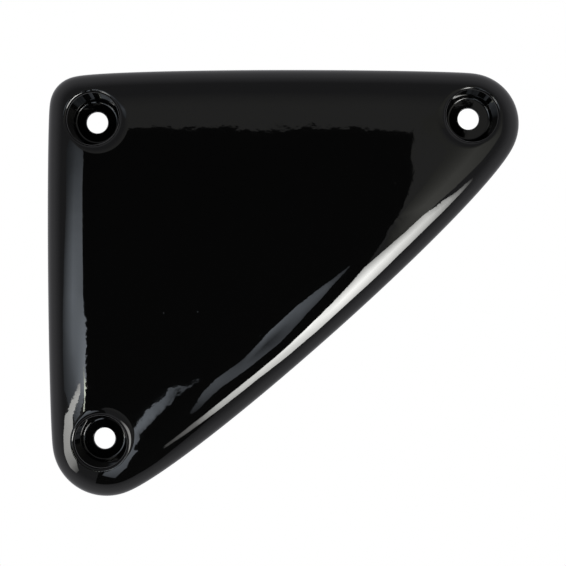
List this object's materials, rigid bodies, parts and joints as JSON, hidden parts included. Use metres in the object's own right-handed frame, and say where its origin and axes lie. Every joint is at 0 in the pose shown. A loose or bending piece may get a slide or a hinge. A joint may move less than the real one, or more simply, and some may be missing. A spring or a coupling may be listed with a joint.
{
  "type": "triangular side cover",
  "caption": "Shallow three-cornered vehicle side cover: a pressed gloss-black shell with rolled edges and a recessed screw pocket at each corner.",
  "frame": {"origin": "middle of the rim's bounding box, in the plane of the rim", "axes": "lying face up: +Z out of the face, +X along the top side towards the right corner, +Y towards the top side"},
  "size_m": [0.141, 0.1275, 0.016],
  "materials": {
    "black_paint": "gloss black paint with slight orange peel"
  },
  "bodies": {
    "root": {"cover_shell": "black_paint"}
  },
  "joints": []
}
